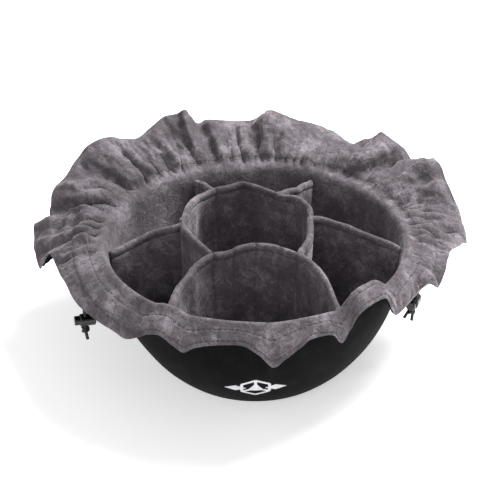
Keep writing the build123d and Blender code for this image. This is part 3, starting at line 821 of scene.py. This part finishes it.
# The centre pocket's top edge seen from above: x, y and height.
CENTRE_POCKET = [
    (-56, 4, 112), (-50.5, -11, 112), (-43.5, -24, 111.5), (-35.5, -35, 111), (-31, -40.5, 111),
    (-20.5, -38, 110.5), (-11, -33.5, 112), (0, -31.5, 113), (11, -32.5, 112.5), (24, -36.5, 111.5),
    (31.5, -40, 111), (37, -27, 111), (41.5, -12, 112), (43, 2, 112.5), (43.5, 14, 112),
    (42, 27, 112), (38.5, 38, 112), (32, 45, 111.5), (24, 49.5, 111), (17, 53, 111),
    (6, 58, 112.5), (-3, 62.5, 114), (-10.5, 64.5, 114.5), (-21, 62, 113), (-32, 59, 111.5),
    (-41, 53, 111), (-47.5, 44, 112), (-52.5, 29, 112.5), (-55.5, 14, 112),
]
RING_SEAMS = [(-56, 4), (-31, -40.5), (31.5, -40), (43.5, 14), (17, 53), (-32, 59)]
FACE_PLEATS = [(-16, -36.5), (1, -31.5), (19, -34.5)]
# Each divider's top edge from the centre pocket out: x, y and height.
DIVIDER_EDGES = {
    "divider_right": [(43.5, 14, 110.5), (53, 15.5, 108.5), (64, 14, 105.5), (76, 11, 102.5),
                      (92, 4, 99), (104, -3, 97), (112, -9, 96)],
    "divider_back_right": [(17, 53, 110.5), (25, 62, 108), (34, 74, 104.5), (42, 87, 101),
                           (49, 101, 97.5)],
    "divider_back_left": [(-32, 59, 110.5), (-39, 72, 107.5), (-45, 88, 103), (-50.5, 100.5, 98)],
    "divider_left": [(-56, 4, 110.5), (-69, 2.5, 107.5), (-81, -0.5, 104), (-94, -7, 100.5),
                     (-109, -16, 97)],
    "divider_front_left": [(-31, -40.5, 110.5), (-40.5, -49, 108.5), (-48, -60, 105.5),
                           (-54.5, -74, 102), (-60, -93, 97.5)],
    "divider_front_right": [(31.5, -40, 110.5), (40.5, -49.5, 108.5), (47, -60.5, 105.5),
                            (52.5, -74, 102), (57, -94, 97.5)],
}


def smooth_line(points, closed):
    """Stations a fixed step apart along a smooth curve through the points."""
    points = np.array(points, float)
    if closed:
        points = np.concatenate([points[-1:], points, points[:2]])
    else:
        points = np.concatenate([2 * points[:1] - points[1:2], points, 2 * points[-1:] - points[-2:-1]])
    t = np.linspace(0, 1, 20, endpoint=False)[:, None]
    line = []
    for a, b, c, d in zip(points, points[1:], points[2:], points[3:]):
        line.append(0.5 * (2 * b + (c - a) * t + (2 * a - 5 * b + 4 * c - d) * t ** 2
                           + (3 * b - a - 3 * c + d) * t ** 3))
    line = np.concatenate(line + [points[-2:-1]])
    length = np.concatenate([[0], np.cumsum(np.linalg.norm(np.diff(line, axis=0), axis=1))])
    count = round(length[-1] / STATION)
    at = np.linspace(0, length[-1], count + 1)[:count if closed else count + 1]
    return np.stack([np.interp(at, length, line[:, k]) for k in range(3)], axis=1), at


def pocket_wall(name, edge, closed, node, seams, seed):
    """A hemmed double wall under its top edge, cut off along the bag's wall if it isn't closed."""
    line, at = smooth_line(edge, closed)
    ahead = np.roll(line, -1, axis=0) - np.roll(line, 1, axis=0)
    if not closed:
        ahead[0], ahead[-1] = line[1] - line[0], line[-1] - line[-2]
    side = np.stack([-ahead[:, 1], ahead[:, 0]], axis=1)
    side /= np.linalg.norm(side, axis=1, keepdims=True)
    start, end = line[0, :2], line[-1, :2]
    loops, seam_line, seam_side = [], [], []
    for i, station in enumerate(line):
        near_seam = sum(math.exp(-((station[0] - x) ** 2 + (station[1] - y) ** 2) / 2) for x, y in seams)
        profile = []
        for share in np.linspace(0, 1, PLAIN_ROWS, endpoint=False):
            z = POCKET_FLOOR + (station[2] - HEM - POCKET_FLOOR) * share
            profile.append((z, WALL_HALF + WALL_PUFF * math.sin(math.pi * min(share + 0.08, 1))))
        profile += [(station[2] - below, thick) for below, thick in HEM_PROFILE]
        faces = {1: [], -1: []}
        for z, thick in profile:
            wave = noise.noise(Vector((at[i] / WAVE[0], z / WAVE[1], seed))) * WAVE[2]
            wave *= rise(0, FREE_HEIGHT, z)
            crush = noise.noise(Vector((at[i] / CRUSH[0], z / CRUSH[1], seed + 5))) * CRUSH[2]
            ground = station[:2]
            if not closed:
                reach_out = end - start
                limit = wall_radius(min(z, WALL_HEIGHT - 1), LINING_FACE)
                b, c = start @ reach_out, start @ start - limit ** 2
                a = reach_out @ reach_out
                share = (-b + math.sqrt(b * b - a * c)) / a
                ground = start + (ground - start) * share
            for hand in (1, -1):
                half_here = thick + crush * DENT_SHARE * hand - SEAM_PINCH * near_seam
                half_here = max(half_here, THINNEST)
                x, y = ground + side[i] * (wave + hand * half_here)
                faces[hand].append((x, y, z))
        ground = (np.array(faces[1][-1]) + np.array(faces[-1][-1])) / 2
        near, far = np.array(faces[1][-SEW_ROW]), np.array(faces[-1][-SEW_ROW])
        seam_line.append([(near + far) / 2, np.linalg.norm(near - far) / 2])
        seam_side.append((*side[i], 0))
        crown = (ground[0], ground[1], station[2])
        loops.append(faces[1] + [crown] + faces[-1][::-1])
    piece = skin(name, np.array(loops), closed, velour, replaces=[node])
    runs = []
    for hand in (1, -1):
        out = np.array(seam_side) * hand
        face = np.array([centre for centre, _ in seam_line]) + out * np.array([[t] for _, t in seam_line])
        runs += stitches(face[2:-2], out[2:-2])
    thread_curve(f"{name}_stitches", runs, THREAD, grey_thread)


pocket_wall("centre_pocket", CENTRE_POCKET, True, "center_pocket_wall",
            RING_SEAMS + FACE_PLEATS, 11.0)
for seed, (node, edge) in enumerate(DIVIDER_EDGES.items()):
    run = sum(math.dist(a[:2], b[:2]) for a, b in zip(edge, edge[1:])) * MM
    pocket_wall(f"hemmed_{node}", edge, False, node, [], 20.0 + 3 * seed)

# ---- Floor and light ----
# A white paper sweep under a large soft box, with a paler fill from the front.
SWEEP_WHITE = "#f4f4f4"
SWEEP_HALF = 4.0                # metres
SWEEP_GLOW = 0.5                # the lit paper is brighter than one bounce of light makes it
PAPER_GRAIN = 900               # to the metre
STUDIO_LIGHT = 0.55
BAG_MIDDLE = Vector((0, 0, 0.08))
LAMPS = [                       # name, place and size in metres, watts
    ("overhead_softbox", (0.5, 0.35, 1.05), 0.6, 27),
    ("front_fill", (-0.5, -1.2, 0.8), 0.8, 4),
]
paper, surface, place = new_material("white_sweep_paper", roughness=0.9)
surface.inputs["Base Color"].default_value = colour(SWEEP_WHITE)
surface.inputs["Emission Color"].default_value = colour(SWEEP_WHITE)
surface.inputs["Emission Strength"].default_value = SWEEP_GLOW
grain = add(paper, "ShaderNodeTexNoise", {"Scale": PAPER_GRAIN, "Detail": 2}, {"Vector": place})
emboss(paper, surface, grain.outputs["Fac"], 0.02)
floor_data = bpy.data.meshes.new("sweep")
corners = [(x * SWEEP_HALF, y * SWEEP_HALF, 0) for x, y in ((-1, -1), (1, -1), (1, 1), (-1, 1))]
floor_data.from_pydata(corners, [], [(0, 1, 2, 3)])
floor = bpy.data.objects.new("sweep", floor_data)
floor_data.materials.append(paper)
bpy.context.collection.objects.link(floor)

world = bpy.data.worlds.new("studio")
bpy.context.scene.world = world
world.use_nodes = True
world.node_tree.nodes["Background"].inputs["Color"].default_value = (1, 1, 1, 1)
world.node_tree.nodes["Background"].inputs["Strength"].default_value = STUDIO_LIGHT
for name, at, size, power in LAMPS:
    lamp = bpy.data.lights.new(name, "AREA")
    lamp.size = size
    lamp.energy = power
    light = bpy.data.objects.new(name, lamp)
    light.location = at
    light.rotation_euler = (Vector(at) - BAG_MIDDLE).to_track_quat("Z", "Y").to_euler()
    bpy.context.collection.objects.link(light)
bpy.context.scene.view_settings.view_transform = "Standard"
